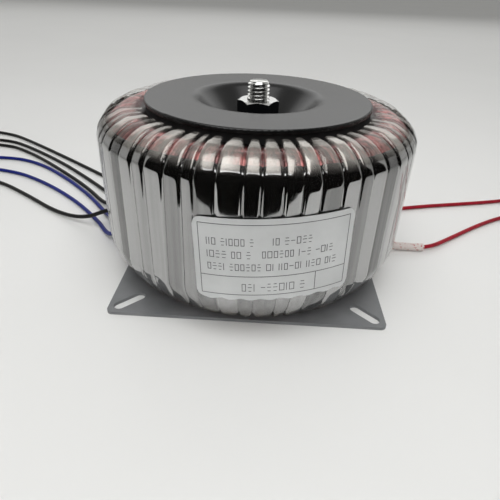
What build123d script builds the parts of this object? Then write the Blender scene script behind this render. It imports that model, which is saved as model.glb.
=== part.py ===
from build123d import *
import math
import os

# Toroidal mains transformer on a square fixing plate. Millimetres, +Z up.
# The origin is on the underside of the plate, on the axis of the ring.
# +X and +Y pass through two neighbouring slotted corners of the plate.

# Fixing plate
plate_side = 96.0
plate_thickness = 1.2
plate_corner_radius = 2.0
slot_length = 12.0
slot_width = 4.0
slot_circle_radius = 58.6
plate_dish_radius = 23.0
plate_dish_floor_radius = 11.5
plate_dish_depth = 9.3

# Rubber pads
pad_radius = 39.6
pad_thickness = 3.0
pad_dish_clearance = 1.5

# Core, and the growth of each layer wound on it: outwards, into the bore, on each face.
# Each layer rounds the outer edges more, by a share of what it grows outwards.
core_bore_radius = 29.5
core_outer_radius = 47.3
core_height = 41.2
core_insulation_growth = (0.7, 0.7, 0.7)
primary_growth = (2.6, 3.2, 2.3)
primary_insulation_growth = (0.6, 0.6, 0.6)
low_secondary_growth = (1.1, 1.3, 1.0)
low_insulation_growth = (0.4, 0.4, 0.4)
main_secondary_growth = (2.4, 2.8, 1.6)
core_edge_bevel = 0.5
bevel_growth = 0.92

# Rounded edges of the finished winding, which stands proud outside the pads
crest_rise = 1.2
crest_gap = 4.4
shoulder_width = 8.0
shoulder_height = 7.0
shoulder_squareness = 1.3
foot_width = 9.5
foot_height = 14.5
foot_squareness = 1.35

# Side band
band_thickness = 0.4

# Outer film: each turn of the tape stands up as one pleat, a broad crown with a narrow groove
pleat_count = 60
film_thickness = 0.5
pleat_depth = 1.0
crown_edge_drop = 0.3
pleat_steep_side = 0.12
pleat_crown_middle = 0.45
pleat_gentle_side = 0.8

# Label on the front of the side
label_arc_length = 48.0
label_height = 27.5
label_corner_radius = 2.5
label_thickness = 0.25
label_centre_height = 31.2
label_direction = -36.6
label_tilt = 2.6
label_clearance = 0.1

# Pressed washer on top
washer_radius = 40.0
washer_thickness = 1.5
washer_dish_radius = 22.5
washer_floor_radius = 11.0
washer_dish_depth = 11.1
press_bend_radius = 3.5

# M8 bolt, nut and washers
thread_radius = 4.0
bolt_hole_clearance = 0.25
hexagon_width = 13.0
hexagon_chamfer_angle = 30.0
bolt_head_height = 5.3
nut_height = 6.5
nut_direction = -43.7
bolt_end_past_nut = 6.4
bolt_end_chamfer = 0.9
flat_washer_radius = 8.0
flat_washer_thickness = 1.6
spring_washer_radius = 7.0
spring_washer_thickness = 1.8
spring_washer_gap = 1.2

# Leads: bend points from the ring to the free end, lying on the surface under the plate
lead_diameter = 1.8
lead_hole_clearance = 0.3
tinned_length = 6.0
tinned_diameter = 1.0
sleeve_diameter = 2.8
black_lead_routes = (
    ((-54.2, -7.8, 14.0), (-65.0, -9.5, 10.5), (-82.0, -11.5, 1.2), (-112.0, -14.0, 1.0),
     (-150.0, -18.5, 1.0), (-190.0, -24.0, 1.0), (-214.0, -29.0, 1.0), (-232.0, -42.0, 1.0)),
    ((-52.5, -15.6, 14.0), (-64.0, -19.0, 10.0), (-80.0, -22.5, 1.2), (-108.0, -22.0, 1.0),
     (-142.0, -23.5, 1.0), (-176.0, -28.0, 1.0), (-201.0, -34.0, 1.0), (-216.0, -51.0, 1.0)),
    ((-47.4, -27.4, 14.0), (-58.0, -30.5, 9.5), (-74.0, -30.0, 1.2), (-98.0, -27.5, 1.0),
     (-132.0, -28.5, 1.0), (-168.0, -31.5, 1.0), (-194.0, -38.5, 1.0), (-208.0, -58.0, 1.0)),
    ((-43.1, -33.9, 14.0), (-51.5, -38.5, 10.5), (-63.0, -45.8, 3.4), (-82.0, -51.5, 1.0),
     (-108.0, -55.0, 1.0), (-136.0, -60.5, 1.0), (-160.0, -72.0, 1.0)),
)
blue_lead_routes = (
    ((-39.9, -35.9, 10.0), (-50.0, -37.5, 6.0), (-66.0, -34.0, 1.2), (-88.0, -31.0, 1.0),
     (-118.0, -30.8, 1.0), (-148.0, -34.0, 1.0), (-168.0, -44.0, 1.0), (-181.0, -61.0, 1.0)),
    ((-27.8, -45.6, 10.0), (-36.0, -52.0, 3.0), (-47.0, -51.0, 1.0), (-62.0, -41.0, 1.0),
     (-90.0, -39.0, 1.0), (-120.0, -42.5, 1.0), (-146.0, -50.0, 1.0), (-165.0, -65.0, 1.0)),
)
red_lead_routes = (
    ((5.9, 54.5, 14.0), (9.0, 63.5, 10.0), (16.5, 76.0, 1.2), (27.0, 97.0, 1.0),
     (41.0, 120.0, 1.0), (53.0, 142.0, 1.0), (59.0, 160.0, 1.0)),
    ((35.5, 41.5, 12.0), (37.5, 47.5, 8.5), (40.5, 54.5, 3.2), (44.5, 63.5, 1.4),
     (48.5, 80.0, 1.0), (53.5, 103.0, 1.0), (60.0, 124.0, 1.0), (67.0, 141.0, 1.0)),
)
sleeved_red_lead = 2
sleeve_runs = 3

# Heights and radii of the stack, worked out from the sizes above
layer_growths = (
    core_insulation_growth,
    primary_growth,
    primary_insulation_growth,
    low_secondary_growth,
    low_insulation_growth,
    main_secondary_growth,
)
outward_growth, bore_growth, face_growth = (sum(sides) for sides in zip(*layer_growths))
ring_bottom = plate_thickness + pad_thickness
winding_bottom = ring_bottom + film_thickness
ring_middle = winding_bottom + face_growth + core_height / 2
winding_top = ring_middle + core_height / 2 + face_growth
ring_top = winding_top + film_thickness
winding_radius = core_outer_radius + outward_growth
winding_bore = core_bore_radius - bore_growth
film_inner_radius = winding_radius + band_thickness
pleat_valley_radius = film_inner_radius + film_thickness
pleat_ridge_radius = pleat_valley_radius + pleat_depth
washer_top = ring_top + pad_thickness + washer_thickness
washer_floor = washer_top - washer_dish_depth
nut_bottom = washer_floor + flat_washer_thickness + spring_washer_thickness
nut_top = nut_bottom + nut_height
bolt_tip = nut_top + bolt_end_past_nut
bolt_hole_radius = thread_radius + bolt_hole_clearance


def revolved(outline):
    """Solid of revolution about Z from (radius, height) points."""
    return revolve(Plane.XZ * make_face(Polyline(*outline, close=True)), Axis.Z)


def ring(inner_radius, outer_radius, bottom, top):
    """Plain ring of rectangular section."""
    lower = [(inner_radius, bottom), (outer_radius, bottom)]
    upper = [(outer_radius, top), (inner_radius, top)]
    return revolved(lower + upper)


def pressed_sheet(middle_line, thickness):
    """Round sheet of even thickness, dished along its middle line."""
    bends = FilletPolyline(*middle_line, radius=press_bend_radius)
    return revolve(Plane.XZ * trace(bends, thickness), Axis.Z)


def mounting_plate():
    """Square sheet with slotted corners, its middle pressed up over the bolt head."""
    half = plate_thickness / 2
    flat_radius = plate_dish_radius + 2 * press_bend_radius
    square = Rot(0, 0, 45) * RectangleRounded(plate_side, plate_side, plate_corner_radius)
    slots = PolarLocations(slot_circle_radius, 4) * SlotOverall(slot_length, slot_width)
    sheet = extrude(square - slots - Circle(flat_radius), plate_thickness)
    dish_line = (
        (bolt_hole_radius, plate_dish_depth + half),
        (plate_dish_floor_radius, plate_dish_depth + half),
        (plate_dish_radius, half),
        (flat_radius, half),
    )
    return sheet + pressed_sheet(dish_line, plate_thickness)


def dished_washer():
    """Pressed washer that holds the ring down, the top of its rim rounded."""
    half = washer_thickness / 2
    dish_line = (
        (bolt_hole_radius, washer_floor - half),
        (washer_floor_radius, washer_floor - half),
        (washer_dish_radius, washer_top - half),
        (washer_radius, washer_top - half),
    )
    washer = pressed_sheet(dish_line, washer_thickness)
    rim = washer.edges().filter_by(GeomType.CIRCLE).group_by(SortBy.RADIUS)[-1]
    return fillet(rim.sort_by(Axis.Z)[-1], washer_thickness / 3)


def pad(bottom, dish_radius):
    """Rubber ring that clears the dish of the sheet beside it."""
    inner_radius = dish_radius + press_bend_radius + pad_dish_clearance
    return ring(inner_radius, pad_radius, bottom, bottom + pad_thickness)


def layer_box(count):
    """Solid ring up to the outside of a number of layers, each of which rounds the edges more."""
    outwards, bore, face = (sum(growth[side] for growth in layer_growths[:count]) for side in range(3))
    bore_radius = core_bore_radius - bore
    side_radius = core_outer_radius + outwards
    bottom = ring_middle - core_height / 2 - face
    top = ring_middle + core_height / 2 + face
    bevel = core_edge_bevel + bevel_growth * outwards
    lower = [(bore_radius, bottom), (side_radius - bevel, bottom), (side_radius, bottom + bevel)]
    upper = [(side_radius, top - bevel), (side_radius - bevel, top), (bore_radius, top)]
    return revolved(lower + upper)


def wound_layer(count):
    """Closed layer round the ring: all that it encloses, less what it is wound on."""
    return layer_box(count) - layer_box(count - 1)


def rounded_edge(side_radius, crest, width, height, squareness):
    """Points of a rounded edge from the crest to the side; a negative height rounds upwards."""
    points = []
    for degrees in (90, 60, 30, 0):
        across = math.cos(math.radians(degrees)) ** squareness
        down = 1 - math.sin(math.radians(degrees)) ** squareness
        points.append((side_radius - width * (1 - across), crest - height * down))
    return points


def ring_outline(side_radius, growth, crest_growth):
    """Outer half of the ring's section, from the edge of the upper pad to that of the lower one."""
    crest = winding_top + crest_rise + crest_growth
    trough = winding_bottom - crest_rise - crest_growth
    crest_radius = pad_radius + crest_gap
    shoulder = rounded_edge(side_radius, crest, shoulder_width, shoulder_height, shoulder_squareness)
    foot = rounded_edge(side_radius, trough, foot_width, -foot_height, foot_squareness)
    upper = [(pad_radius, winding_top + growth), (crest_radius, crest)] + shoulder
    lower = foot[::-1] + [(crest_radius, trough), (pad_radius, winding_bottom - growth)]
    return upper + lower


def ring_form(side_radius):
    """Solid ring with the rounded edges of the finished winding."""
    outline = [(winding_bore, winding_top)] + ring_outline(side_radius, 0.0, 0.0)
    return revolved(outline + [(winding_bore, winding_bottom)])


def main_secondary_winding():
    """Outermost winding, which gives the ring its rounded shoulder."""
    return ring_form(winding_radius) - layer_box(len(layer_growths) - 1)


def shield_band():
    """Thin band round the straight part of the winding's side."""
    side = [height for radius, height in ring_outline(winding_radius, 0.0, 0.0) if radius == winding_radius]
    return ring(winding_radius, film_inner_radius, min(side), max(side))


def pleat_corners(ridge_point, valley_point):
    """Share of the pitch, radius and height of each corner across one pleat."""
    depth = pleat_ridge_radius - pleat_valley_radius
    slack = crown_edge_drop / depth
    edge_point = [ridge + slack * (valley - ridge) for ridge, valley in zip(ridge_point, valley_point)]
    return (
        (0.0, *valley_point),
        (pleat_steep_side, *edge_point),
        (pleat_crown_middle, *ridge_point),
        (pleat_gentle_side, *edge_point),
    )


def pleat_line(ridge_point, valley_point):
    """Closed line round the axis through the corners of every pleat."""
    corners = []
    for pleat in range(pleat_count):
        for share, radius, height in pleat_corners(ridge_point, valley_point):
            angle = 2 * math.pi * (pleat + share) / pleat_count
            corners.append((radius * math.cos(angle), radius * math.sin(angle), height))
    return Wire.make_polygon(corners, close=True)


def pleated_form():
    """Solid up to the film's outer face, with pleats that run over both edges and down the side."""
    ridge = ring_outline(pleat_ridge_radius, film_thickness, film_thickness + pleat_depth)
    valley = ring_outline(pleat_valley_radius, film_thickness, film_thickness)
    return Solid.make_loft([pleat_line(*points) for points in zip(ridge, valley)], ruled=True)


def first_run(route, radius):
    """Cylinder from the start of a lead along its first run."""
    start, following = Vector(*route[0]), Vector(*route[1])
    mouth = Plane(origin=start, z_dir=following - start)
    return mouth * Cylinder(radius, (following - start).length, align=(Align.CENTER, Align.CENTER, Align.MIN))


def outer_wrap():
    """Clear film round the ring, closed in the bore, with a hole for each lead."""
    bore = Pos(0, 0, ring_middle) * Cylinder(winding_bore - film_thickness, 2 * core_height)
    wrap = pleated_form() - bore - ring_form(film_inner_radius)
    for name, route in lead_routes().items():
        cover = sleeve_diameter if name == sleeved_lead() else lead_diameter
        wrap -= first_run(route, cover / 2 + lead_hole_clearance)
    return wrap


def label():
    """Sticker bent round the side of the film."""
    inner_radius = pleat_ridge_radius + label_clearance
    wall = ring(inner_radius, inner_radius + label_thickness, ring_bottom, ring_top)
    half_angle = label_arc_length / inner_radius / 2
    flat_width = 2 * inner_radius * math.sin(half_angle)
    facing = Plane.YZ * Rot(0, 0, label_tilt) * RectangleRounded(flat_width, label_height, label_corner_radius)
    cutter = Pos(0, 0, label_centre_height) * extrude(facing, 2 * inner_radius)
    return wall & Rot(0, 0, label_direction) * cutter


def hexagon_block(height, chamfer_bottom):
    """Hexagon prism, its corners turned off at the top and, on a nut, at the bottom too."""
    prism = extrude(RegularPolygon(hexagon_width / 2, 6, major_radius=False, rotation=30), height)
    corner_radius = hexagon_width / math.sqrt(3)
    fall = (corner_radius - hexagon_width / 2) * math.tan(math.radians(hexagon_chamfer_angle))
    cone = [(hexagon_width / 2, height), (corner_radius, height - fall)]
    foot = [(corner_radius, fall), (hexagon_width / 2, 0)] if chamfer_bottom else [(corner_radius, 0)]
    return prism & revolved([(0, height)] + cone + foot + [(0, 0)])


def nut():
    """Hexagon nut with a flat to the front."""
    bore = Cylinder(thread_radius, 3 * nut_height)
    return Pos(0, 0, nut_bottom) * Rot(0, 0, nut_direction) * (hexagon_block(nut_height, True) - bore)


def centre_bolt():
    """Hexagon bolt up through the ring, its head inside the dish of the plate."""
    head = Pos(0, 0, plate_dish_depth) * Rot(180, 0, 0) * hexagon_block(bolt_head_height, False)
    shank_length = bolt_tip - plate_dish_depth
    shank = Cylinder(thread_radius, shank_length, align=(Align.CENTER, Align.CENTER, Align.MIN))
    shank = chamfer(shank.edges().sort_by(Axis.Z)[-1], bolt_end_chamfer)
    return head + Pos(0, 0, plate_dish_depth) * shank


def flat_washer():
    """Plain washer on the floor of the dish."""
    return ring(bolt_hole_radius, flat_washer_radius, washer_floor, washer_floor + flat_washer_thickness)


def spring_washer():
    """Split washer between the plain washer and the nut."""
    bottom = washer_floor + flat_washer_thickness
    split = Pos(spring_washer_radius, 0, bottom) * Box(2 * spring_washer_radius, spring_washer_gap, nut_height)
    return ring(bolt_hole_radius, spring_washer_radius, bottom, nut_bottom) - split


def lead_routes():
    """Every lead's route by the name of the lead."""
    groups = (("black", black_lead_routes), ("blue", blue_lead_routes), ("red", red_lead_routes))
    return {f"{colour}_lead_{i}": route for colour, routes in groups for i, route in enumerate(routes, 1)}


def sleeved_lead():
    """Name of the lead that leaves the ring inside a sleeve."""
    return f"red_lead_{sleeved_red_lead}"


def bend_radii(route):
    """Largest even bend that fits at each inner point of a route."""
    points = [Vector(*point) for point in route]
    radii = []
    for before, at, after in zip(points, points[1:], points[2:]):
        turn = math.radians((at - before).get_angle(after - at))
        radii.append(0.45 * min((at - before).length, (after - at).length) / math.tan(turn / 2))
    return radii


def tube(name, route, radii, diameter, bore=0.0):
    """Round tube along a route: straight runs joined by tangent bends."""
    path = FilletPolyline(*route, radius=radii)
    section = Circle(diameter / 2)
    if bore:
        section -= Circle(bore / 2)
    solid = sweep(Plane(origin=path @ 0, z_dir=path % 0) * section, path=path)
    share = solid.volume / (section.area * path.length)
    bends = ", ".join(f"{radius:.1f}" for radius in radii)
    print(f"{name}: length {path.length:.1f}, volume share {share:.4f}, bend radii {bends}")
    return solid


def lead(name):
    """Insulated part of a lead."""
    route = lead_routes()[name]
    return tube(name, route, bend_radii(route), lead_diameter)


def tinned_end(name):
    """Bare tinned strands in line with the last run of a lead."""
    before, end = (Vector(*point) for point in lead_routes()[name][-2:])
    face = Plane(origin=end, z_dir=end - before)
    return face * Cylinder(tinned_diameter / 2, tinned_length, align=(Align.CENTER, Align.CENTER, Align.MIN))


def red_lead_sleeve():
    """Sleeve over the first runs of one red lead, ending halfway along a straight one."""
    route = lead_routes()[sleeved_lead()]
    corners = [Vector(*point) for point in route[:sleeve_runs]]
    middle = (corners[-1] + Vector(*route[sleeve_runs])) / 2
    radii = bend_radii(route)[: sleeve_runs - 1]
    return tube("red_lead_sleeve", corners + [middle], radii, sleeve_diameter, lead_diameter)


def all_parts():
    """Every piece of the transformer by name."""
    parts = {
        "mounting_plate": mounting_plate(),
        "lower_pad": pad(plate_thickness, plate_dish_radius),
        "steel_core": layer_box(0),
        "core_insulation": wound_layer(1),
        "primary_winding": wound_layer(2),
        "primary_insulation": wound_layer(3),
        "low_secondary_winding": wound_layer(4),
        "low_secondary_insulation": wound_layer(5),
        "main_secondary_winding": main_secondary_winding(),
        "shield_band": shield_band(),
        "outer_wrap": outer_wrap(),
        "label": label(),
        "upper_pad": pad(ring_top, washer_dish_radius),
        "dished_washer": dished_washer(),
        "flat_washer": flat_washer(),
        "spring_washer": spring_washer(),
        "nut": nut(),
        "centre_bolt": centre_bolt(),
        "red_lead_sleeve": red_lead_sleeve(),
    }
    for name in lead_routes():
        parts[name] = lead(name)
        parts[f"{name}_end"] = tinned_end(name)
    return parts


os.makedirs("parts", exist_ok=True)
for part_name, part in all_parts().items():
    export_step(part, f"parts/{part_name}.step")
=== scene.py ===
import math
import random

import bpy
from mathutils import Matrix, Vector, noise


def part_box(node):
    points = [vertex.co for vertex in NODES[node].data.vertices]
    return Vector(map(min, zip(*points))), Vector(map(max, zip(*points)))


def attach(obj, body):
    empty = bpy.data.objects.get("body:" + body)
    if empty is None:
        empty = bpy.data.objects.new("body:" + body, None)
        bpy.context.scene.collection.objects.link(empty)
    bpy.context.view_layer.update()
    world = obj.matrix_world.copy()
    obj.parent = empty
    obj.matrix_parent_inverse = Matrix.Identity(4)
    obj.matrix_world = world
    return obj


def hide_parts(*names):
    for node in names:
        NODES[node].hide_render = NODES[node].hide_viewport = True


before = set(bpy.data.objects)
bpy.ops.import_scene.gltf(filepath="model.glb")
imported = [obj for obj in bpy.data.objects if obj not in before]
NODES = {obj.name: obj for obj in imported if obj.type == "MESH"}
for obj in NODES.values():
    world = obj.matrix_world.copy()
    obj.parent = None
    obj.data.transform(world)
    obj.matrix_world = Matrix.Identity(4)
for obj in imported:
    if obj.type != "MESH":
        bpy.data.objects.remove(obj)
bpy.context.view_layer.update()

MM = 0.001

# Sizes in millimetres that the CAD boxes give
RIDGE_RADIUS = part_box("outer_wrap")[1].x / MM
COIL_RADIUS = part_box("main_secondary_winding")[1].x / MM
PAD_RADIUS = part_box("upper_pad")[1].x / MM
RING_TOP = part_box("upper_pad")[0].z / MM
PAD_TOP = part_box("upper_pad")[1].z / MM
BOLT_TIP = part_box("centre_bolt")[1].z / MM

# Winding, band and film in millimetres; each rounded edge is its width, height and squareness
FILM_THICKNESS = 0.5
FILM_GAP = 0.9
COIL_TOP = RING_TOP - FILM_THICKNESS
COIL_BOTTOM = 4.7
BORE_RADIUS = 20.5
CREST_RISE = 1.2
CREST_GAP = 4.4
PAD_OVERLAP = 0.5
SHOULDER = (8.0, 7.0, 1.3)
FOOT = (9.5, 14.5, 1.35)
EDGE_STEPS = 12
BAND_TOP = 58.5
BAND_BOTTOM = 5.5
BAND_REACH = 7.0
BAND_THICKNESS = 0.35
BAND_GAP = 0.7
BAND_FOLLOWS = 0.97
BAND_EDGE_TONE = -1.0

# Where the rounded edges begin and end, in shares of the ring's height from its middle
EDGE_SHARES = (0.36, 0.5)

# Wires in millimetres; each wire has a random painted sheen, and the painted shade beside the pad fades that
# sheen in at these distances from the pad
WIRES = 300
COLUMNS_PER_WIRE = 4
WIRE_RELIEF = 0.3
WIRE_ROUNDNESS = 0.9
WIRE_PAINTED_SHEENS = (0.5, 1.3)
WIRE_PAD_SHADE_FADE = (1.0, 6.0)
WIRE_SEED = 5

# Pleats: depth and widening in millimetres, squareness as an exponent, the rest in shares of a pleat
PLEATS = 60
COLUMNS_PER_PLEAT = 14
PLEAT_SEED = 11
PLEAT_DEPTH = 1.0
PLEAT_SHIFT = 0.16
PLEAT_HEIGHTS = (0.72, 1.0)
NARROW_WIDTH = 0.55
WIDTH_GAIN = 0.45
WIDENING = 9.0
SIDE_SQUARENESS = 15.0
SQUARENESS_LOSS = 9.5
SIDE_LEAN = 0.8
LEAN_LOSS = 0.3
CREASE_DEPTH = 0.1
CREASE_SCALE = 22
CREASE_STRETCH = 0.05

# Tips of the pleats beside the pad, in millimetres
TIP_GAP = 0.3
TIP_STARTS = (0.0, 1.6)
TIP_CURVE = 2.0
TIP_LENGTH = 1.6
TIP_RISE = 2.2
TIP_REACH = (1.5, 11.0)
TIP_FLOOR = RING_TOP - 1.0
TIP_CEILING = PAD_TOP - 0.4

# Tone of each pleat, which alternates with a random spread and paints the side's striped reflections, and
# how far the film is milky: in all, in front, out on the shoulder and by its tone; the extra milkiness in
# front and out on the shoulder is a painted sheen towards the camera
REFLECTION_TONE_BASE = 0.3
REFLECTION_TONE_STEP = 0.4
REFLECTION_TONE_SPREAD = 0.3
HAZE_BASE = 0.27
PAINTED_FRONT_SHEEN = 0.31
PAINTED_SHOULDER_SHEEN = 0.3
HAZE_REFLECTION_TONE = 0.2
FOOT_VEIL = 0.6
VEIL_HEIGHTS = (BAND_TOP - 2.5, BAND_TOP - 0.5)
OUTNESS_RADII = (PAD_RADIUS + 3.0, COIL_RADIUS - 4.0)

# Label in millimetres and degrees; each row of print is its left, right, lower edge and height
LABEL_SIZE = (48.0, 27.5)
LABEL_CORNER = 2.5
LABEL_THICKNESS = 0.25
LABEL_HEIGHT = 31.2
LABEL_DIRECTION = -36.6
LABEL_TILT = 2.6
LABEL_RADIUS = RIDGE_RADIUS + 0.1
LABEL_STEPS = 96
WAVE_HEIGHT = 0.25
WAVE_TURN = 1.05
STROKE = 0.2
INK_SINK = 0.05
INK_RISE = 0.04
BAR_STEP = 1.5
PRINT_MARGIN = (1.6, 1.7)
RULE_HEIGHT = -5.4
DIVIDER_PLACE = 12.2
PRINT_ROWS = (
    (-10.0, 10.5, -10.6, 2.7),
    (-20.0, 19.5, -3.2, 2.3),
    (-20.0, -6.0, 1.0, 2.3),
    (-4.0, 19.5, 1.2, 2.3),
    (-20.0, -5.0, 5.2, 2.3),
    (-1.0, 12.0, 5.4, 2.3),
)

# Printed signs: how often each kind comes, how many to a group, and widths in shares of a row's height
SIGN_WEIGHTS = {"box": 4, "post": 2, "step": 3, "dash": 1}
SIGNS_PER_GROUP = (2, 6)
POST_WIDTH = 0.14
SIGN_WIDTHS = (0.45, 0.6)
SIGN_GAP = 0.2
GROUP_GAP = 0.45
PRINT_SEED = 4

# Bolt in millimetres; the head is its width across flats, bottom and top
THREAD_RADIUS = 4.0
THREAD_PITCH = 1.25
THREAD_DEPTH = 0.75
THREAD_FLATNESS = 1.25
THREAD_STEEPNESS = 2.6
THREAD_START = 60.0
THREAD_STEP = 0.1
CONE_HEIGHT = 1.1
CONE_SLOPE = 0.8
BOLT_HEAD = (13.0, 4.0, 9.3)
BOLT_COLUMNS = 48

# Camera of the photograph: place and target in metres, roll in degrees, lens in millimetres; and the
# direction from the ring's axis to the camera
CAMERA_PLACE = (0.11929, -0.11422, 0.10231)
CAMERA_TARGET = (0.04113, -0.04002, 0.035)
CAMERA_ROLL = -2.396
CAMERA_LENS = 32.4
FRONT_ANGLE = math.radians(-43.68)

# World: its colour, and its strength as light and as the camera and reflections see it
WORLD_COLOUR = (0.86, 0.86, 0.84, 1.0)
WORLD_LIGHT = 0.3
WORLD_SEEN = 0.52

# Lights: place and target to the photograph's right, away from the camera and up, and size, in metres;
# power in watts; whether reflections show them; whole angle of the beam in degrees
LIGHTS = {
    "overhead": ((0.0, -0.2, 0.6), (0.0, 0.0, 0.05), (0.55, 0.45), 2.1, True, 180),
    "rear": ((0.0, 1.0, 0.7), (0.0, 0.0, 0.05), (2.0, 0.75), 4.7, True, 180),
    "fill": ((0.0, -0.45, 0.35), (0.0, -0.1, 0.0), (0.3, 0.1), 0.08, False, 60),
    "front": ((0.0, -0.35, 1.0), (0.0, -0.1, 0.0), (1.6, 1.0), 1.7, False, 180),
}

# Table and dark room in metres, with the room's half width and its height as angles
TABLE_REACH = 40
ROOM_NEAR = 0.139
ROOM_RADIUS = 0.9
ROOM_LIFT = 0.0005
ROOM_SIDE = math.radians(88.0)
ROOM_TOP = math.radians(84.0)
ROOM_ROWS = 9
ROOM_COLUMNS = 13

# Leads and the braided sleeve over one of them, in millimetres
LEAD_DIAMETER = 1.8
SLEEVE_DIAMETER = 3.4
SLEEVE_SPAN = (3.5, 24.9)
SLEEVE_CLEARANCE = 0.05
SLEEVE_COLUMNS = 72
SLEEVE_FINENESS = 3
BRAID_DEPTH = 0.1
BRAID_STRANDS = 9
BRAID_TURN = 4.2

# Points along each lead from the ring to its bare end, in millimetres
LEAD_ROUTES = {
    "black_lead_1": [(-54.2, -7.8, 14.0), (-65.0, -9.5, 10.5), (-82.0, -11.5, 1.2), (-112.0, -14.0, 1.0),
                     (-150.0, -18.5, 1.0), (-190.0, -24.0, 1.0), (-214.0, -29.0, 1.0), (-232.0, -42.0, 1.0)],
    "black_lead_2": [(-52.5, -15.6, 14.0), (-64.0, -19.0, 10.0), (-80.0, -22.5, 1.2), (-108.0, -22.0, 1.0),
                     (-142.0, -23.5, 1.0), (-176.0, -28.0, 1.0), (-201.0, -34.0, 1.0), (-216.0, -51.0, 1.0)],
    "black_lead_3": [(-47.4, -27.4, 14.0), (-58.0, -30.5, 9.5), (-74.0, -30.0, 1.2), (-98.0, -27.5, 1.0),
                     (-132.0, -28.5, 1.0), (-168.0, -31.5, 1.0), (-194.0, -38.5, 1.0), (-208.0, -58.0, 1.0)],
    "black_lead_4": [(-43.1, -33.9, 14.0), (-51.5, -38.5, 10.5), (-63.0, -45.8, 3.4), (-82.0, -51.5, 1.0),
                     (-108.0, -55.0, 1.0), (-136.0, -60.5, 1.0), (-160.0, -72.0, 1.0)],
    "blue_lead_1": [(-39.9, -35.9, 10.0), (-50.0, -37.5, 6.0), (-66.0, -34.0, 1.2), (-88.0, -31.0, 1.0),
                    (-118.0, -30.8, 1.0), (-148.0, -34.0, 1.0), (-168.0, -44.0, 1.0), (-181.0, -61.0, 1.0)],
    "blue_lead_2": [(-34.0, -42.0, 9.0), (-40.5, -43.5, 4.5), (-49.0, -42.5, 1.2), (-62.0, -40.0, 1.0),
                    (-90.0, -39.0, 1.0), (-120.0, -42.5, 1.0), (-146.0, -50.0, 1.0), (-165.0, -65.0, 1.0)],
    "red_lead_1": [(5.9, 54.5, 14.0), (9.0, 63.5, 10.0), (16.5, 76.0, 1.2), (27.0, 97.0, 1.0),
                   (41.0, 120.0, 1.0), (53.0, 142.0, 1.0), (59.0, 160.0, 1.0)],
    "red_lead_2": [(33.0, 38.5, 6.5), (37.0, 44.5, 2.5), (43.0, 51.0, 1.9), (50.5, 58.5, 1.9),
                   (52.0, 76.0, 1.1), (55.0, 103.0, 1.0), (60.5, 124.0, 1.0), (67.0, 141.0, 1.0)],
}

# Colour of each insulation, and how much lighter its marks are
LEAD_COLOURS = {"black": (0.003, 0.003, 0.003), "blue": (0.003, 0.01, 0.14), "red": (0.25, 0.004, 0.014)}
MARK_GAIN = 1.35
MARK_LIFT = 0.001


class Shader:
    """Node material around one Principled shader, with a few short helpers."""

    def __init__(self, name, **inputs):
        self.material = bpy.data.materials.new(name)
        self.material.use_nodes = True
        self.tree = self.material.node_tree
        self.principled = self.tree.nodes["Principled BSDF"]
        for key, value in inputs.items():
            socket = self.principled.inputs[key.replace("_", " ")]
            socket.default_value = (*value, 1.0) if isinstance(value, tuple) else value

    def node(self, kind, operation=None, **inputs):
        node = self.tree.nodes.new(kind)
        if operation:
            node.operation = operation
        for key, value in inputs.items():
            node.inputs[key.replace("_", " ")].default_value = value
        return node

    def link(self, output, target):
        socket = self.principled.inputs[target] if isinstance(target, str) else target
        self.tree.links.new(output, socket)

    def position(self, scale=(1.0, 1.0, 1.0)):
        """Object coordinates, stretched."""
        coordinates = self.node("ShaderNodeTexCoord")
        mapping = self.node("ShaderNodeMapping", Scale=scale)
        self.link(coordinates.outputs["Object"], mapping.inputs["Vector"])
        return mapping.outputs["Vector"]

    def noise(self, scale, detail=4.0, stretch=(1.0, 1.0, 1.0)):
        texture = self.node("ShaderNodeTexNoise", Scale=scale, Detail=detail)
        self.link(self.position(stretch), texture.inputs["Vector"])
        return texture.outputs["Fac"]

    def attribute(self, name):
        node = self.node("ShaderNodeAttribute")
        node.attribute_name = name
        return node.outputs["Fac"]

    def math(self, operation, first, second):
        node = self.node("ShaderNodeMath", operation)
        for socket, value in zip(node.inputs, (first, second)):
            if isinstance(value, (int, float)):
                socket.default_value = value
            else:
                self.link(value, socket)
        return node.outputs[0]

    def ramp(self, factor, *stops):
        """Colour ramp; each stop is a place and a colour or a grey value."""
        node = self.node("ShaderNodeValToRGB")
        elements = node.color_ramp.elements
        while len(elements) < len(stops):
            elements.new(0.5)
        for element, (place, colour) in zip(elements, stops):
            element.position = place
            element.color = (*colour, 1.0) if isinstance(colour, tuple) else (colour, colour, colour, 1.0)
        self.link(factor, node.inputs["Fac"])
        return node.outputs["Color"]

    def bump(self, height, strength, distance):
        node = self.node("ShaderNodeBump", Strength=strength, Distance=distance)
        self.link(height, node.inputs["Height"])
        self.link(node.outputs["Normal"], "Normal")


def dress(obj, shader):
    """Gives an object its one material."""
    obj.data.materials.clear()
    obj.data.materials.append(shader.material)


def plain_material(name, dark, light, scale, bump=0.1, **inputs):
    """Material whose colour wanders between two close colours."""
    shader = Shader(name, **inputs)
    shader.link(shader.ramp(shader.noise(scale), (0.35, dark), (0.65, light)), "Base Color")
    shader.bump(shader.noise(scale * 6), bump, 0.0001)
    return shader


def mesh_piece(name, vertices, faces, attributes=None, smooth=True):
    """New mesh object from points in millimetres, riding with the transformer."""
    mesh = bpy.data.meshes.new(name)
    mesh.from_pydata([[value * MM for value in vertex] for vertex in vertices], [], faces)
    for key, values in (attributes or {}).items():
        layer = mesh.attributes.new(key, "FLOAT", "POINT")
        layer.data.foreach_set("value", values)
    for polygon in mesh.polygons:
        polygon.use_smooth = smooth
    mesh.update()
    obj = bpy.data.objects.new(name, mesh)
    bpy.context.scene.collection.objects.link(obj)
    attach(obj, "root")
    return obj


def grid_faces(rows, columns, close_rows, close_columns):
    """Quads of a grid of vertices that is numbered row by row."""
    faces = []
    for row in range(rows if close_rows else rows - 1):
        below, above = row * columns, (row + 1) % rows * columns
        for column in range(columns if close_columns else columns - 1):
            following = (column + 1) % columns
            faces.append((below + column, above + column, above + following, below + following))
    return faces


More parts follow.
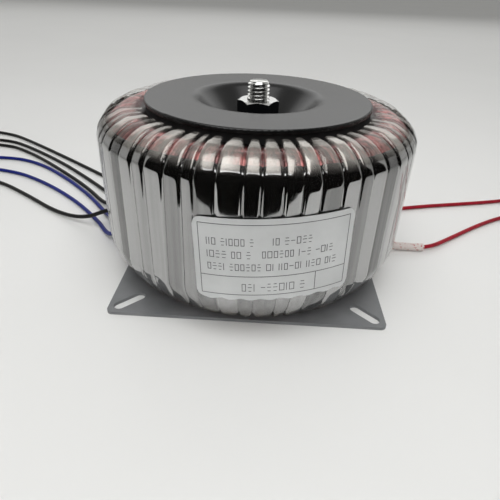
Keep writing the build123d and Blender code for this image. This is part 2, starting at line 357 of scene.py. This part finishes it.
def smoothstep(value, start, end):
    """Share of the way from start to end, eased at both."""
    share = min(1.0, max(0.0, (value - start) / (end - start)))
    return share * share * (3 - 2 * share)


def place_camera():
    """Camera at the photograph's viewing angle."""
    data = bpy.data.cameras.new("camera")
    data.lens = CAMERA_LENS
    data.clip_start = 0.001
    camera = bpy.data.objects.new("camera", data)
    bpy.context.scene.collection.objects.link(camera)
    place, target = Vector(CAMERA_PLACE), Vector(CAMERA_TARGET)
    aim = (target - place).to_track_quat("-Z", "Y").to_matrix().to_4x4()
    roll = Matrix.Rotation(math.radians(-CAMERA_ROLL), 4, "Z")
    camera.matrix_world = Matrix.Translation(place) @ aim @ roll
    bpy.context.scene.camera = camera


def lead_material(colour_name):
    """Extruded insulation with faint marks."""
    shader = Shader(f"{colour_name}_insulation", Roughness=0.45, Specular_IOR_Level=0.25)
    dark = LEAD_COLOURS[colour_name]
    light = tuple(MARK_GAIN * channel + MARK_LIFT for channel in dark)
    shader.link(shader.ramp(shader.noise(300.0), (0.35, dark), (0.65, light)), "Base Color")
    shader.bump(shader.noise(1500.0), 0.15, 0.0001)
    return shader


def tinned_material():
    """Tinned copper strands."""
    shader = Shader("tinned_wire", Metallic=1.0, Roughness=0.35)
    shader.link(shader.ramp(shader.noise(900.0), (0.3, 0.42), (0.7, 0.72)), "Base Color")
    return shader


def braid_material():
    """White glass braid with flecks of the red lead showing through."""
    shader = Shader("glass_braid", Roughness=0.8, Sheen_Weight=0.2)
    flecks = shader.ramp(shader.noise(900.0, 2.0), (0.3, (0.45, 0.1, 0.1)), (0.42, (0.68, 0.61, 0.58)))
    shader.link(flecks, "Base Color")
    shader.bump(shader.noise(2500.0), 0.4, 0.0002)
    return shader


def lead_line(name):
    """Smooth curve object along a lead's route."""
    curve = bpy.data.curves.new(name + "_wire", "CURVE")
    curve.dimensions = "3D"
    spline = curve.splines.new("NURBS")
    spline.points.add(len(LEAD_ROUTES[name]) - 1)
    for point, place in zip(spline.points, LEAD_ROUTES[name]):
        point.co = (*(value * MM for value in place), 1.0)
        point.radius = LEAD_DIAMETER * MM / 2
    spline.order_u = 3
    spline.use_endpoint_u = True
    spline.resolution_u = 16
    line = bpy.data.objects.new(name + "_wire", curve)
    bpy.context.scene.collection.objects.link(line)
    return line


def line_places(name):
    """Points along a lead's smooth line, in millimetres."""
    line = lead_line(name)
    mesh = bpy.data.meshes.new_from_object(line)
    places = [vertex.co / MM for vertex in mesh.vertices]
    curve = line.data
    bpy.data.objects.remove(line)
    bpy.data.curves.remove(curve)
    bpy.data.meshes.remove(mesh)
    return places


def tube_rows(places, span, radius, columns, weave):
    """Rings of points round a part of a line; weave gives the relief at an angle and a distance."""
    rows, travelled = [], 0.0
    side = Vector((0.0, 0.0, 1.0)).cross(places[1] - places[0]).normalized()
    for before, place, after in zip(places[:1] + places, places, places[1:]):
        travelled += (place - before).length
        along = (after - before).normalized()
        side = (side - along * side.dot(along)).normalized()
        if not span[0] <= travelled <= span[1]:
            continue
        up = along.cross(side)
        row = []
        for column in range(columns):
            angle = 2 * math.pi * column / columns
            reach = radius + weave(angle, travelled)
            row.append(place + reach * (math.cos(angle) * side + math.sin(angle) * up))
        rows.append(row)
    return rows


def braid(angle, travelled):
    """Relief of two sets of strands that cross, at an angle and a distance along the sleeve."""
    turn = BRAID_TURN * travelled
    return BRAID_DEPTH * math.sin(BRAID_STRANDS * angle + turn) * math.sin(BRAID_STRANDS * angle - turn)


def make_sleeve():
    """Braided sleeve over the start of one red lead."""
    places = line_places("red_lead_2")
    shares = [step / SLEEVE_FINENESS for step in range(SLEEVE_FINENESS)]
    fine = [before.lerp(after, share) for before, after in zip(places, places[1:]) for share in shares]
    outer_radius = SLEEVE_DIAMETER / 2 - BRAID_DEPTH
    inner_radius = LEAD_DIAMETER / 2 + SLEEVE_CLEARANCE
    outer = tube_rows(fine, SLEEVE_SPAN, outer_radius, SLEEVE_COLUMNS, braid)
    inner = tube_rows(fine, SLEEVE_SPAN, inner_radius, SLEEVE_COLUMNS, lambda angle, travelled: 0.0)
    rows = outer + inner[::-1]
    vertices = [vertex for row in rows for vertex in row]
    sleeve = mesh_piece("sleeve", vertices, grid_faces(len(rows), SLEEVE_COLUMNS, True, True))
    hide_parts("red_lead_sleeve")
    dress(sleeve, braid_material())
    return sleeve


def lay_cord(name, material):
    """One lead on its smooth line, in place of the model's lead."""
    cord = lead_line(name)
    cord.data.bevel_depth = 1.0
    cord.data.bevel_resolution = 6
    cord.data.use_fill_caps = True
    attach(cord, "root")
    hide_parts(name)
    dress(cord, material)


def lay_cords():
    """All eight leads, their tinned ends and the braided sleeve."""
    materials = {colour: lead_material(colour) for colour in LEAD_COLOURS}
    tinned = tinned_material()
    for name in LEAD_ROUTES:
        dress(NODES[name + "_end"], tinned)
        if name == "red_lead_2":
            make_sleeve()
        lay_cord(name, materials[name.split("_")[0]])


def edge_points(radius, crest, width, height, squareness, steps):
    """Points of a rounded edge from the crest to the side; a negative height rounds upwards."""
    points = []
    for step in range(steps + 1):
        angle = math.pi / 2 * (1 - step / steps)
        across = math.cos(angle) ** squareness
        down = 1 - math.sin(angle) ** squareness
        points.append((radius - width * (1 - across), crest - height * down))
    return points


def line_points(start, end, steps):
    """Even points from start to end, without the end."""
    return [tuple(a + (b - a) * step / steps for a, b in zip(start, end)) for step in range(steps)]


def ring_profile(side_radius, growth):
    """Closed section of the ring at some growth over the winding, from the bore over the top and down."""
    top, bottom = COIL_TOP + growth, COIL_BOTTOM - growth
    crest, trough = top + CREST_RISE, bottom - CREST_RISE
    bore = BORE_RADIUS - growth
    flat_radius = PAD_RADIUS - PAD_OVERLAP
    crest_radius = PAD_RADIUS + CREST_GAP
    shoulder = edge_points(side_radius, crest, *SHOULDER, EDGE_STEPS)
    foot = edge_points(side_radius, trough, FOOT[0], -FOOT[1], FOOT[2], EDGE_STEPS)[::-1]
    points = line_points((bore, top), (flat_radius, top), 3)
    points += line_points((flat_radius, top), (crest_radius, crest), 12)
    points += line_points((crest_radius, crest), shoulder[0], 2)
    points += shoulder[:-1]
    points += line_points(shoulder[-1], foot[0], 22)
    points += foot[:-1]
    points += line_points(foot[-1], (crest_radius, trough), 2)
    points += line_points((crest_radius, trough), (flat_radius, bottom), 8)
    points += line_points((flat_radius, bottom), (bore, bottom), 3)
    return points + line_points((bore, bottom), (bore, top), 4)


def profile_normals(points):
    """Outward direction at each point of a closed section."""
    normals = []
    for index in range(len(points)):
        before, after = points[index - 1], points[(index + 1) % len(points)]
        along = Vector((after[0] - before[0], after[1] - before[1])).normalized()
        normals.append((-along.y, along.x))
    return normals


def pleat_place(column):
    """Pleat that a column of vertices belongs to, and its share of the way across."""
    pleat, step = divmod(column, COLUMNS_PER_PLEAT)
    return pleat, step / COLUMNS_PER_PLEAT


def height_place(height):
    """Share of the ring's height, and how far up or down the rounded edges a place is."""
    share = (height - COIL_BOTTOM) / (COIL_TOP - COIL_BOTTOM)
    return share, smoothstep(abs(share - 0.5), *EDGE_SHARES)


class Pleats:
    """Uneven pleats round the ring: where each begins, how it stands and leans, its tip and its tone, which
    paints a striped reflection.
    """

    def __init__(self, seed):
        source = random.Random(seed)
        self.starts = [index + source.uniform(-PLEAT_SHIFT, PLEAT_SHIFT) for index in range(PLEATS)]
        self.drifts = [source.uniform(-PLEAT_SHIFT, PLEAT_SHIFT) for _ in range(PLEATS)]
        self.heights = [source.uniform(*PLEAT_HEIGHTS) for _ in range(PLEATS)]
        self.leans = [source.uniform(-1.0, 1.0) for _ in range(PLEATS)]
        self.tips = [source.uniform(*TIP_STARTS) for _ in range(PLEATS)]
        # Painted reflection: tones alternate from pleat to pleat, with a random spread.
        self.reflection_tones = [REFLECTION_TONE_BASE + REFLECTION_TONE_STEP * (index % 2) + source.uniform(-REFLECTION_TONE_SPREAD, REFLECTION_TONE_SPREAD)
                      for index in range(PLEATS)]

    def start(self, index, height_share):
        """Where a pleat begins at a height from 0 at the bottom to 1 at the top, in pleats."""
        turn, index = divmod(index, PLEATS)
        return self.starts[index] + self.drifts[index] * (height_share - 0.5) + turn * PLEATS

    def angle(self, column, height_share):
        """Angle of a column of vertices, which keeps to one place across its pleat."""
        pleat, share = pleat_place(column)
        start, end = self.start(pleat, height_share), self.start(pleat + 1, height_share)
        return 2 * math.pi * (start + (end - start) * share) / PLEATS

    def rise(self, column, topness, radius):
        """How far the film stands out over the valley, from 0 to 1; each pleat narrows towards the pad."""
        pleat, share = pleat_place(column)
        width = NARROW_WIDTH + WIDTH_GAIN * smoothstep(radius, PAD_RADIUS, PAD_RADIUS + WIDENING)
        across = (2 * share - 1) / width
        crown = 1 - abs(across) ** (SIDE_SQUARENESS - SQUARENESS_LOSS * topness)
        lean = self.leans[pleat] * (SIDE_LEAN - LEAN_LOSS * topness)
        return min(1.0, max(0.0, crown * (self.heights[pleat] - abs(lean) / 2 + lean * across / 2)))

    def tip(self, column, radius):
        """Rounded tip of a pleat beside the pad: 0 inside the tip, 1 beyond it."""
        pleat, share = pleat_place(column)
        curve = 1 - math.sqrt(max(0.0, 1 - (2 * share - 1) ** 2))
        start = PAD_RADIUS + TIP_GAP + self.tips[pleat] + TIP_CURVE * curve
        return smoothstep(radius, start, start + TIP_LENGTH)


def standing_top(radius, top, rise):
    """Height of the film beside the pad, where the pleats stand up but stay under the washer."""
    nearness = 1 - smoothstep(radius, PAD_RADIUS + TIP_REACH[0], PAD_RADIUS + TIP_REACH[1])
    return min(top + TIP_RISE * rise * nearness, max(top, TIP_CEILING))


def film_haze_and_sheen(radius, height, angle, reflection_tone):
    """How milky the film is: clear over the band, and most so on the shoulder towards the camera, where the
    extra milkiness is a painted sheen.
    """
    height_share, topness = height_place(height)
    veil = smoothstep(height, *VEIL_HEIGHTS) if height_share > 0.5 else FOOT_VEIL * topness
    outness = smoothstep(radius, *OUTNESS_RADII)
    # Painted sheen: the film grows milkier towards the camera and out on the shoulder.
    frontness = max(0.0, math.cos(angle - FRONT_ANGLE))
    return (HAZE_BASE + (PAINTED_FRONT_SHEEN + PAINTED_SHOULDER_SHEEN * outness) * frontness + HAZE_REFLECTION_TONE * reflection_tone) * veil


def film_surface(pleats):
    """Closed surface of the film; the attributes give the rise and the haze, with its painted sheen, of each
    place.
    """
    profile = ring_profile(COIL_RADIUS + FILM_GAP, FILM_THICKNESS)
    columns = PLEATS * COLUMNS_PER_PLEAT
    vertices, crowns, hazes_and_sheens = [], [], []
    for (radius, height), (out, up) in zip(profile, profile_normals(profile)):
        height_share, topness = height_place(height)
        for column in range(columns):
            angle = pleats.angle(column, height_share)
            rise = pleats.rise(column, topness, radius) * pleats.tip(column, radius)
            side, ahead = math.cos(angle), math.sin(angle)
            spot = Vector((side * CREASE_SCALE, ahead * CREASE_SCALE, height * CREASE_STRETCH))
            lift = PLEAT_DEPTH * rise * (1 + CREASE_DEPTH * noise.noise(spot))
            flat = min(RIDGE_RADIUS, radius + out * lift)
            top = height + up * lift
            if height > TIP_FLOOR:
                top = standing_top(radius, top, rise)
            vertices.append((flat * side, flat * ahead, top))
            crowns.append(rise)
            hazes_and_sheens.append(film_haze_and_sheen(radius, height, angle, pleats.reflection_tones[pleat_place(column)[0]]))
    faces = grid_faces(len(profile), columns, True, True)
    return mesh_piece("film", vertices, faces, {"crown": crowns, "haze_and_sheen": hazes_and_sheens})


def band_surface(pleats):
    """Closed shell of the band, which follows the pleats just inside the film, carries each pleat's tone as
    a painted reflection and has a dark upper edge.
    """
    profile = [(radius, height) for radius, height in ring_profile(COIL_RADIUS + BAND_GAP, BAND_THICKNESS)
               if BAND_BOTTOM <= height <= BAND_TOP and radius > COIL_RADIUS - BAND_REACH]
    normals = profile_normals(profile)
    normals[0], normals[-1] = normals[1], normals[-2]
    columns = PLEATS * COLUMNS_PER_PLEAT
    edge = 2 * columns
    # Painted reflection: each pleat's tone sets the band's brightness.
    reflection_tones = [pleats.reflection_tones[pleat_place(column)[0]] for column in range(columns)] * (2 * len(profile))
    reflection_tones[:edge] = reflection_tones[-edge:] = [BAND_EDGE_TONE] * edge
    rows = []
    for inset in (0.0, BAND_THICKNESS):
        for (radius, height), (out, up) in zip(profile, normals):
            height_share, topness = height_place(height)
            row = []
            for column in range(columns):
                angle = pleats.angle(column, height_share)
                lift = BAND_FOLLOWS * PLEAT_DEPTH * pleats.rise(column, topness, radius) - inset
                flat = radius + out * lift
                row.append((flat * math.cos(angle), flat * math.sin(angle), height + up * lift))
            rows.append(row)
    outer, inner = rows[:len(profile)], rows[len(profile):]
    vertices = [vertex for row in outer + inner[::-1] for vertex in row]
    return mesh_piece("band", vertices, grid_faces(2 * len(profile), columns, True, True), {"reflection_tone": reflection_tones})


def winding_surface():
    """Outer turns of copper wire, side by side from the bore over the shoulder, with a painted sheen for
    each wire and painted shade beside the pad.
    """
    profile = ring_profile(COIL_RADIUS, 0.0)
    columns = WIRES * COLUMNS_PER_WIRE
    source = random.Random(WIRE_SEED)
    # Painted sheen: each wire gets its own random brightness.
    painted_sheens = [source.uniform(*WIRE_PAINTED_SHEENS) for _ in range(WIRES)]
    vertices, painted_light = [], []
    for (radius, height), (out, up) in zip(profile, profile_normals(profile)):
        # Painted shade: the wires darken towards the pad, where its shade falls.
        clear_of_pad_shade = smoothstep(radius, PAD_RADIUS + WIRE_PAD_SHADE_FADE[0], PAD_RADIUS + WIRE_PAD_SHADE_FADE[1])
        for column in range(columns):
            wire, step = divmod(column, COLUMNS_PER_WIRE)
            across = 2 * step / COLUMNS_PER_WIRE - 1
            lift = WIRE_RELIEF * (math.sqrt(1 - WIRE_ROUNDNESS * across * across) - 1)
            angle = 2 * math.pi * column / columns
            flat = radius + out * lift
            vertices.append((flat * math.cos(angle), flat * math.sin(angle), height + up * lift))
            painted_light.append(painted_sheens[wire] * clear_of_pad_shade)
    return mesh_piece("winding", vertices, grid_faces(len(profile), columns, True, True), {"painted_light": painted_light})


def film_material():
    """Clear polyester film: glossy, slightly milky where it stands off the winding, and milkier towards the
    camera as a painted sheen.
    """
    shader = Shader("clear_film", IOR=1.6, Metallic=0.7, Base_Color=(0.48, 0.455, 0.42))
    streaks = shader.noise(260.0, 5.0, (1.0, 1.0, 0.06))
    # Alpha follows the milkiness, painted sheen included, on the crowns of the pleats.
    milk = shader.math("MULTIPLY", shader.attribute("haze_and_sheen"), shader.math("ADD", streaks, 0.6))
    crown = shader.math("POWER", shader.attribute("crown"), 2.5)
    shader.link(shader.math("ADD", shader.math("MULTIPLY", crown, milk), 0.03), "Alpha")
    shader.link(shader.ramp(shader.attribute("haze_and_sheen"), (0.0, 0.09), (0.8, 0.2)), "Roughness")
    shader.bump(streaks, 0.2, 0.0002)
    return shader


def band_material():
    """Grey metallised tape with long fine scratches, and a painted reflection from each pleat's tone."""
    shader = Shader("band", Metallic=1.0, Roughness=0.05)
    scratches = shader.noise(500.0, 6.0, (1.0, 1.0, 0.03))
    # Painted reflection: the pleat tone, with the scratches, sets the band's colour.
    reflection_tone = shader.math("ADD", shader.attribute("reflection_tone"), shader.math("MULTIPLY", scratches, 0.5))
    shader.link(shader.ramp(reflection_tone, (0.0, 0.01), (0.3, 0.18), (0.95, 0.48)), "Base Color")
    shader.bump(scratches, 0.08, 0.0001)
    return shader


def copper_material():
    """Enamelled copper wire, darkened by painted shade where the surface's painted light attribute is low.
    """
    shader = Shader("copper_wire", Metallic=0.6, Roughness=0.28, Coat_Weight=0.6, Coat_Roughness=0.06)
    wires = shader.noise(700.0, 3.0, (1.0, 1.0, 0.3))
    # Painted light: the wire colour follows the painted sheen and painted shade of each place.
    seen = shader.math("MULTIPLY", wires, shader.attribute("painted_light"))
    stops = ((0.0, (0.008, 0.002, 0.002)), (0.35, (0.1, 0.012, 0.013)), (0.65, (0.46, 0.13, 0.12)))
    shader.link(shader.ramp(seen, *stops), "Base Color")
    return shader


def wind_ring():
    """Winding, band and film of the ring."""
    pleats = Pleats(PLEAT_SEED)
    film = film_surface(pleats)
    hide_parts("outer_wrap")
    dress(film, film_material())
    band = band_surface(pleats)
    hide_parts("shield_band")
    dress(band, band_material())
    winding = winding_surface()
    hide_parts("main_secondary_winding")
    dress(winding, copper_material())


def on_label(across, up, lift):
    """Point on the label's face: across and up from its middle, in millimetres."""
    tilt = math.radians(LABEL_TILT)
    turned = across * math.cos(tilt) - up * math.sin(tilt)
    raised = across * math.sin(tilt) + up * math.cos(tilt)
    radius = LABEL_RADIUS + lift
    angle = math.radians(LABEL_DIRECTION) + turned / LABEL_RADIUS
    return (radius * math.cos(angle), radius * math.sin(angle), LABEL_HEIGHT + raised)


def add_slab(vertices, faces, span, low, high, lifts, steps):
    """Adds a thin closed slab that follows the label; low and high give its edges at a place across."""
    first = len(vertices)
    (left, right), (bottom, top) = span, lifts
    for step in range(steps + 1):
        across = left + (right - left) * step / steps
        lower, upper = low(across), high(across)
        for up, lift in ((lower, bottom), (upper, bottom), (upper, top), (lower, top)):
            vertices.append(on_label(across, up, lift))
    for step in range(steps):
        here, there = first + 4 * step, first + 4 * (step + 1)
        for corner in range(4):
            following = (corner + 1) % 4
            faces.append((here + corner, here + following, there + following, there + corner))
    faces.append((first + 3, first + 2, first + 1, first))
    last = first + 4 * steps
    faces.append((last, last + 1, last + 2, last + 3))


def label_edge(across, sign):
    """Height of the label's rounded outline at a place across; the lower edge is slightly wavy."""
    half_width, half_height = LABEL_SIZE[0] / 2, LABEL_SIZE[1] / 2
    into = max(0.0, abs(across) - (half_width - LABEL_CORNER))
    corner = LABEL_CORNER - math.sqrt(max(0.0, LABEL_CORNER ** 2 - into ** 2))
    wave = WAVE_HEIGHT * math.sin(across * WAVE_TURN) if sign < 0 else 0.0
    return sign * (half_height - corner) + wave


def make_label():
    """Silver sticker bent round the side."""
    vertices, faces = [], []
    half_width = LABEL_SIZE[0] / 2
    add_slab(vertices, faces, (-half_width, half_width), lambda across: label_edge(across, -1),
             lambda across: label_edge(across, 1), (0.0, LABEL_THICKNESS), LABEL_STEPS)
    sticker = mesh_piece("sticker", vertices, faces, smooth=False)
    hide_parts("label")
    shader = Shader("label", Roughness=0.38, Metallic=0.35)
    greys = (0.3, (0.56, 0.57, 0.57)), (0.7, (0.68, 0.69, 0.69))
    shader.link(shader.ramp(shader.noise(60.0), *greys), "Base Color")
    shader.bump(shader.noise(90.0), 0.35, 0.0006)
    dress(sticker, shader)


def add_bar(vertices, faces, left, right, low, high):
    """Adds one printed bar to the label."""
    steps = max(1, round((right - left) / BAR_STEP))
    lifts = (LABEL_THICKNESS - INK_SINK, LABEL_THICKNESS + INK_RISE)
    add_slab(vertices, faces, (left, right), lambda across: low, lambda across: high, lifts, steps)


def add_sign(vertices, faces, kind, left, low, width, height):
    """Adds a sign of a few thin strokes, which stands for print without being any letter."""
    right, high, stroke = left + width, low + height, STROKE
    if kind in ("box", "post"):
        add_bar(vertices, faces, left, left + stroke, low, high)
    if kind == "box":
        add_bar(vertices, faces, right - stroke, right, low, high)
    if kind in ("box", "step"):
        add_bar(vertices, faces, left + stroke, right - stroke, low, low + stroke)
        add_bar(vertices, faces, left + stroke, right - stroke, high - stroke, high)
    if kind in ("step", "dash"):
        middle = low + height / 2
        add_bar(vertices, faces, left, right, middle, middle + stroke)


def add_row(vertices, faces, source, left, right, low, height):
    """Adds a row of signs in groups, as uneven as words."""
    across = left
    while across < right - height:
        count = source.randint(*SIGNS_PER_GROUP)
        for kind in source.choices(tuple(SIGN_WEIGHTS), weights=tuple(SIGN_WEIGHTS.values()), k=count):
            width = height * (POST_WIDTH if kind == "post" else source.uniform(*SIGN_WIDTHS))
            if across + width > right:
                break
            add_sign(vertices, faces, kind, across, low, width, height)
            across += width + SIGN_GAP * height
        across += GROUP_GAP * height


def make_print():
    """Printed frame, rules and rows of marks."""
    vertices, faces = [], []
    source = random.Random(PRINT_SEED)
    half_width, half_height = (size / 2 - margin for size, margin in zip(LABEL_SIZE, PRINT_MARGIN))
    for low in (-half_height, half_height - STROKE, RULE_HEIGHT):
        add_bar(vertices, faces, -half_width, half_width, low, low + STROKE)
    for across in (-half_width, half_width - STROKE):
        add_bar(vertices, faces, across, across + STROKE, -half_height, half_height)
    add_bar(vertices, faces, DIVIDER_PLACE, DIVIDER_PLACE + STROKE, -half_height, RULE_HEIGHT)
    for left, right, low, height in PRINT_ROWS:
        add_row(vertices, faces, source, left, right, low, height)
    marks = mesh_piece("label_print", vertices, faces, smooth=False)
    ink = plain_material("label_ink", (0.09, 0.09, 0.095), (0.13, 0.13, 0.135), 200.0, Roughness=0.5)
    dress(marks, ink)


def thread_radius(angle, height):
    """Radius of the bolt's end at an angle and height: a single right-handed thread, coned at the tip."""
    turn = (height / THREAD_PITCH - angle / (2 * math.pi)) % 1.0
    groove = THREAD_FLATNESS - THREAD_STEEPNESS * abs(turn - 0.5)
    depth = THREAD_DEPTH * min(1.0, max(0.0, groove))
    cone = THREAD_RADIUS - CONE_SLOPE * max(0.0, height - (BOLT_TIP - CONE_HEIGHT))
    return min(THREAD_RADIUS - depth, cone)


def add_head(vertices, faces):
    """Adds the bolt's hexagon head."""
    flats, bottom, top = BOLT_HEAD
    radius = flats / math.sqrt(3)
    for height in (bottom, top):
        for corner in range(6):
            angle = math.pi / 3 * corner
            vertices.append((radius * math.cos(angle), radius * math.sin(angle), height))
    faces.append(tuple(range(5, -1, -1)))
    faces.append(tuple(range(6, 12)))
    faces.extend((corner, (corner + 1) % 6, (corner + 1) % 6 + 6, corner + 6) for corner in range(6))


def add_shank(vertices, faces):
    """Adds the bolt's shank as rings of points, from the threaded tip down to the head."""
    first = len(vertices)
    threaded = range(int((BOLT_TIP - THREAD_START) / THREAD_STEP))
    heights = [BOLT_TIP - THREAD_STEP * step for step in threaded] + [THREAD_START, BOLT_HEAD[2]]
    for height in heights:
        for column in range(BOLT_COLUMNS):
            angle = 2 * math.pi * column / BOLT_COLUMNS
            radius = thread_radius(angle, height) if height > THREAD_START else THREAD_RADIUS
            vertices.append((radius * math.cos(angle), radius * math.sin(angle), height))
    for face in grid_faces(len(heights), BOLT_COLUMNS, False, True):
        faces.append(tuple(first + index for index in face))
    last = first + (len(heights) - 1) * BOLT_COLUMNS
    faces.append(tuple(first + column for column in range(BOLT_COLUMNS)))
    faces.append(tuple(last + column for column in range(BOLT_COLUMNS - 1, -1, -1)))


def make_bolt():
    """Hexagon-headed bolt with its thread."""
    vertices, faces = [], []
    add_head(vertices, faces)
    add_shank(vertices, faces)
    bolt = mesh_piece("bolt", vertices, faces)
    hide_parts("centre_bolt")
    return bolt


def nut_material():
    """Painted light: bright faces and chamfers above and painted shade on the flats at the sides, set by
    which way each face points.
    """
    shader = Shader("nut_steel", Metallic=1.0, Roughness=0.25)
    geometry = shader.node("ShaderNodeNewGeometry")
    parts = shader.node("ShaderNodeSeparateXYZ")
    shader.link(geometry.outputs["Normal"], parts.inputs[0])
    # Painted light: upward faces bright and side faces dark, with a little noise.
    painted_light_by_facing = shader.math("ADD", parts.outputs["Z"], shader.math("MULTIPLY", shader.noise(600.0), 0.2))
    shader.link(shader.ramp(painted_light_by_facing, (0.25, (0.06, 0.065, 0.075)), (0.5, (0.78, 0.78, 0.77))), "Base Color")
    return shader


def dress_metalwork():
    """Plate, washer, pads, nut, bolt and the pieces inside."""
    zinc = plain_material("zinc_steel", (0.62, 0.62, 0.6), (0.82, 0.82, 0.8), 400.0,
                          Metallic=1.0, Roughness=0.22)
    dress(make_bolt(), zinc)
    dress(NODES["nut"], nut_material())
    for name in ("flat_washer", "spring_washer"):
        dress(NODES[name], zinc)
    black = plain_material("black_paint", (0.005, 0.005, 0.005), (0.008, 0.008, 0.008), 40.0,
                           Roughness=0.27, IOR=1.44)
    dress(NODES["dished_washer"], black)
    plate = plain_material("plate_steel", (0.15, 0.155, 0.16), (0.2, 0.205, 0.21), 60.0, Roughness=0.4)
    dress(NODES["mounting_plate"], plate)
    rubber = plain_material("rubber", (0.006, 0.006, 0.006), (0.012, 0.012, 0.012), 300.0, Roughness=0.8)
    for name in ("lower_pad", "upper_pad"):
        dress(NODES[name], rubber)
    steel = plain_material("core_steel", (0.3, 0.3, 0.32), (0.45, 0.45, 0.47), 300.0,
                           Roughness=0.4, Metallic=1.0)
    dress(NODES["steel_core"], steel)
    tape = plain_material("insulation", (0.6, 0.52, 0.33), (0.7, 0.62, 0.42), 200.0, Roughness=0.5)
    for name in ("core_insulation", "primary_insulation", "low_secondary_insulation"):
        dress(NODES[name], tape)
    copper = copper_material()
    for name in ("primary_winding", "low_secondary_winding"):
        dress(NODES[name], copper)


def in_photo(sideways, away, height):
    """Place given in metres to the photograph's right, away from the camera and up."""
    turned = Matrix.Rotation(math.radians(90) + FRONT_ANGLE, 3, "Z") @ Vector((sideways, away, 0))
    return (turned.x, turned.y, height)


def stage_mesh(name, corners, faces, shader):
    """Stage piece, its corners in metres."""
    mesh = bpy.data.meshes.new(name)
    mesh.from_pydata(corners, [], faces)
    mesh.materials.append(shader.material)
    obj = bpy.data.objects.new(name, mesh)
    bpy.context.scene.collection.objects.link(obj)
    return obj


def dark_room():
    """Dark room in front that only reflections see: a floor beyond the table's edge and part of a dome."""
    side = ROOM_RADIUS * math.sin(ROOM_SIDE)
    floor = ((-side, -ROOM_NEAR), (side, -ROOM_NEAR), (side, -ROOM_RADIUS), (-side, -ROOM_RADIUS))
    corners = [in_photo(across, away, ROOM_LIFT) for across, away in floor]
    faces = [(0, 1, 2, 3)]
    for row in range(ROOM_ROWS):
        rise = ROOM_TOP * row / (ROOM_ROWS - 1)
        flat, height = ROOM_RADIUS * math.cos(rise), ROOM_LIFT + ROOM_RADIUS * math.sin(rise)
        for column in range(ROOM_COLUMNS):
            turn = ROOM_SIDE * (2 * column / (ROOM_COLUMNS - 1) - 1)
            corners.append(in_photo(flat * math.sin(turn), -flat * math.cos(turn), height))
    for face in grid_faces(ROOM_ROWS, ROOM_COLUMNS, False, False):
        faces.append(tuple(len(floor) + index for index in face))
    black = Shader("dark_room", Roughness=1.0, Base_Color=(0.0, 0.0, 0.0), Specular_IOR_Level=0.0)
    room = stage_mesh("dark_room", corners, faces, black)
    room.visible_camera = False
    room.visible_diffuse = False
    room.visible_shadow = False


def build_world():
    """Even light from all round, and a paler backdrop for the camera and for reflections."""
    world = bpy.data.worlds.new("world")
    bpy.context.scene.world = world
    world.use_nodes = True
    tree = world.node_tree
    background = tree.nodes["Background"]
    background.inputs["Color"].default_value = WORLD_COLOUR
    path = tree.nodes.new("ShaderNodeLightPath")
    seen = tree.nodes.new("ShaderNodeMath")
    seen.operation = "MAXIMUM"
    tree.links.new(path.outputs["Is Camera Ray"], seen.inputs[0])
    tree.links.new(path.outputs["Is Glossy Ray"], seen.inputs[1])
    strength = tree.nodes.new("ShaderNodeMapRange")
    strength.inputs["To Min"].default_value = WORLD_LIGHT
    strength.inputs["To Max"].default_value = WORLD_SEEN
    tree.links.new(seen.outputs[0], strength.inputs["Value"])
    tree.links.new(strength.outputs["Result"], background.inputs["Strength"])


def area_light(name, place, target, size, energy, glossy, spread):
    """Rectangular light that faces its target; spread is the whole angle of its beam in degrees."""
    data = bpy.data.lights.new(name, "AREA")
    data.shape = "RECTANGLE"
    data.spread = math.radians(spread)
    data.size, data.size_y = size
    data.energy = energy
    light = bpy.data.objects.new(name, data)
    bpy.context.scene.collection.objects.link(light)
    light.location = place
    light.visible_glossy = glossy
    light.rotation_euler = (Vector(target) - Vector(place)).to_track_quat("-Z", "Y").to_euler()


def build_stage():
    """Pale table, pale backdrop, soft studio light and the dark room in front for reflections."""
    table = Shader("table", Roughness=0.5)
    greys = (0.3, (0.78, 0.78, 0.765)), (0.7, (0.8, 0.8, 0.785))
    table.link(table.ramp(table.noise(8.0), *greys), "Base Color")
    reach = TABLE_REACH
    corners = [(-reach, -reach, 0), (reach, -reach, 0), (reach, reach, 0), (-reach, reach, 0)]
    stage_mesh("floor", corners, [(0, 1, 2, 3)], table)
    dark_room()
    build_world()
    for name, (place, target, size, energy, glossy, spread) in LIGHTS.items():
        area_light(name, in_photo(*place), in_photo(*target), size, energy, glossy, spread)


place_camera()
lay_cords()
wind_ring()
make_label()
make_print()
dress_metalwork()
build_stage()

bpy.context.scene.view_settings.view_transform = "Standard"
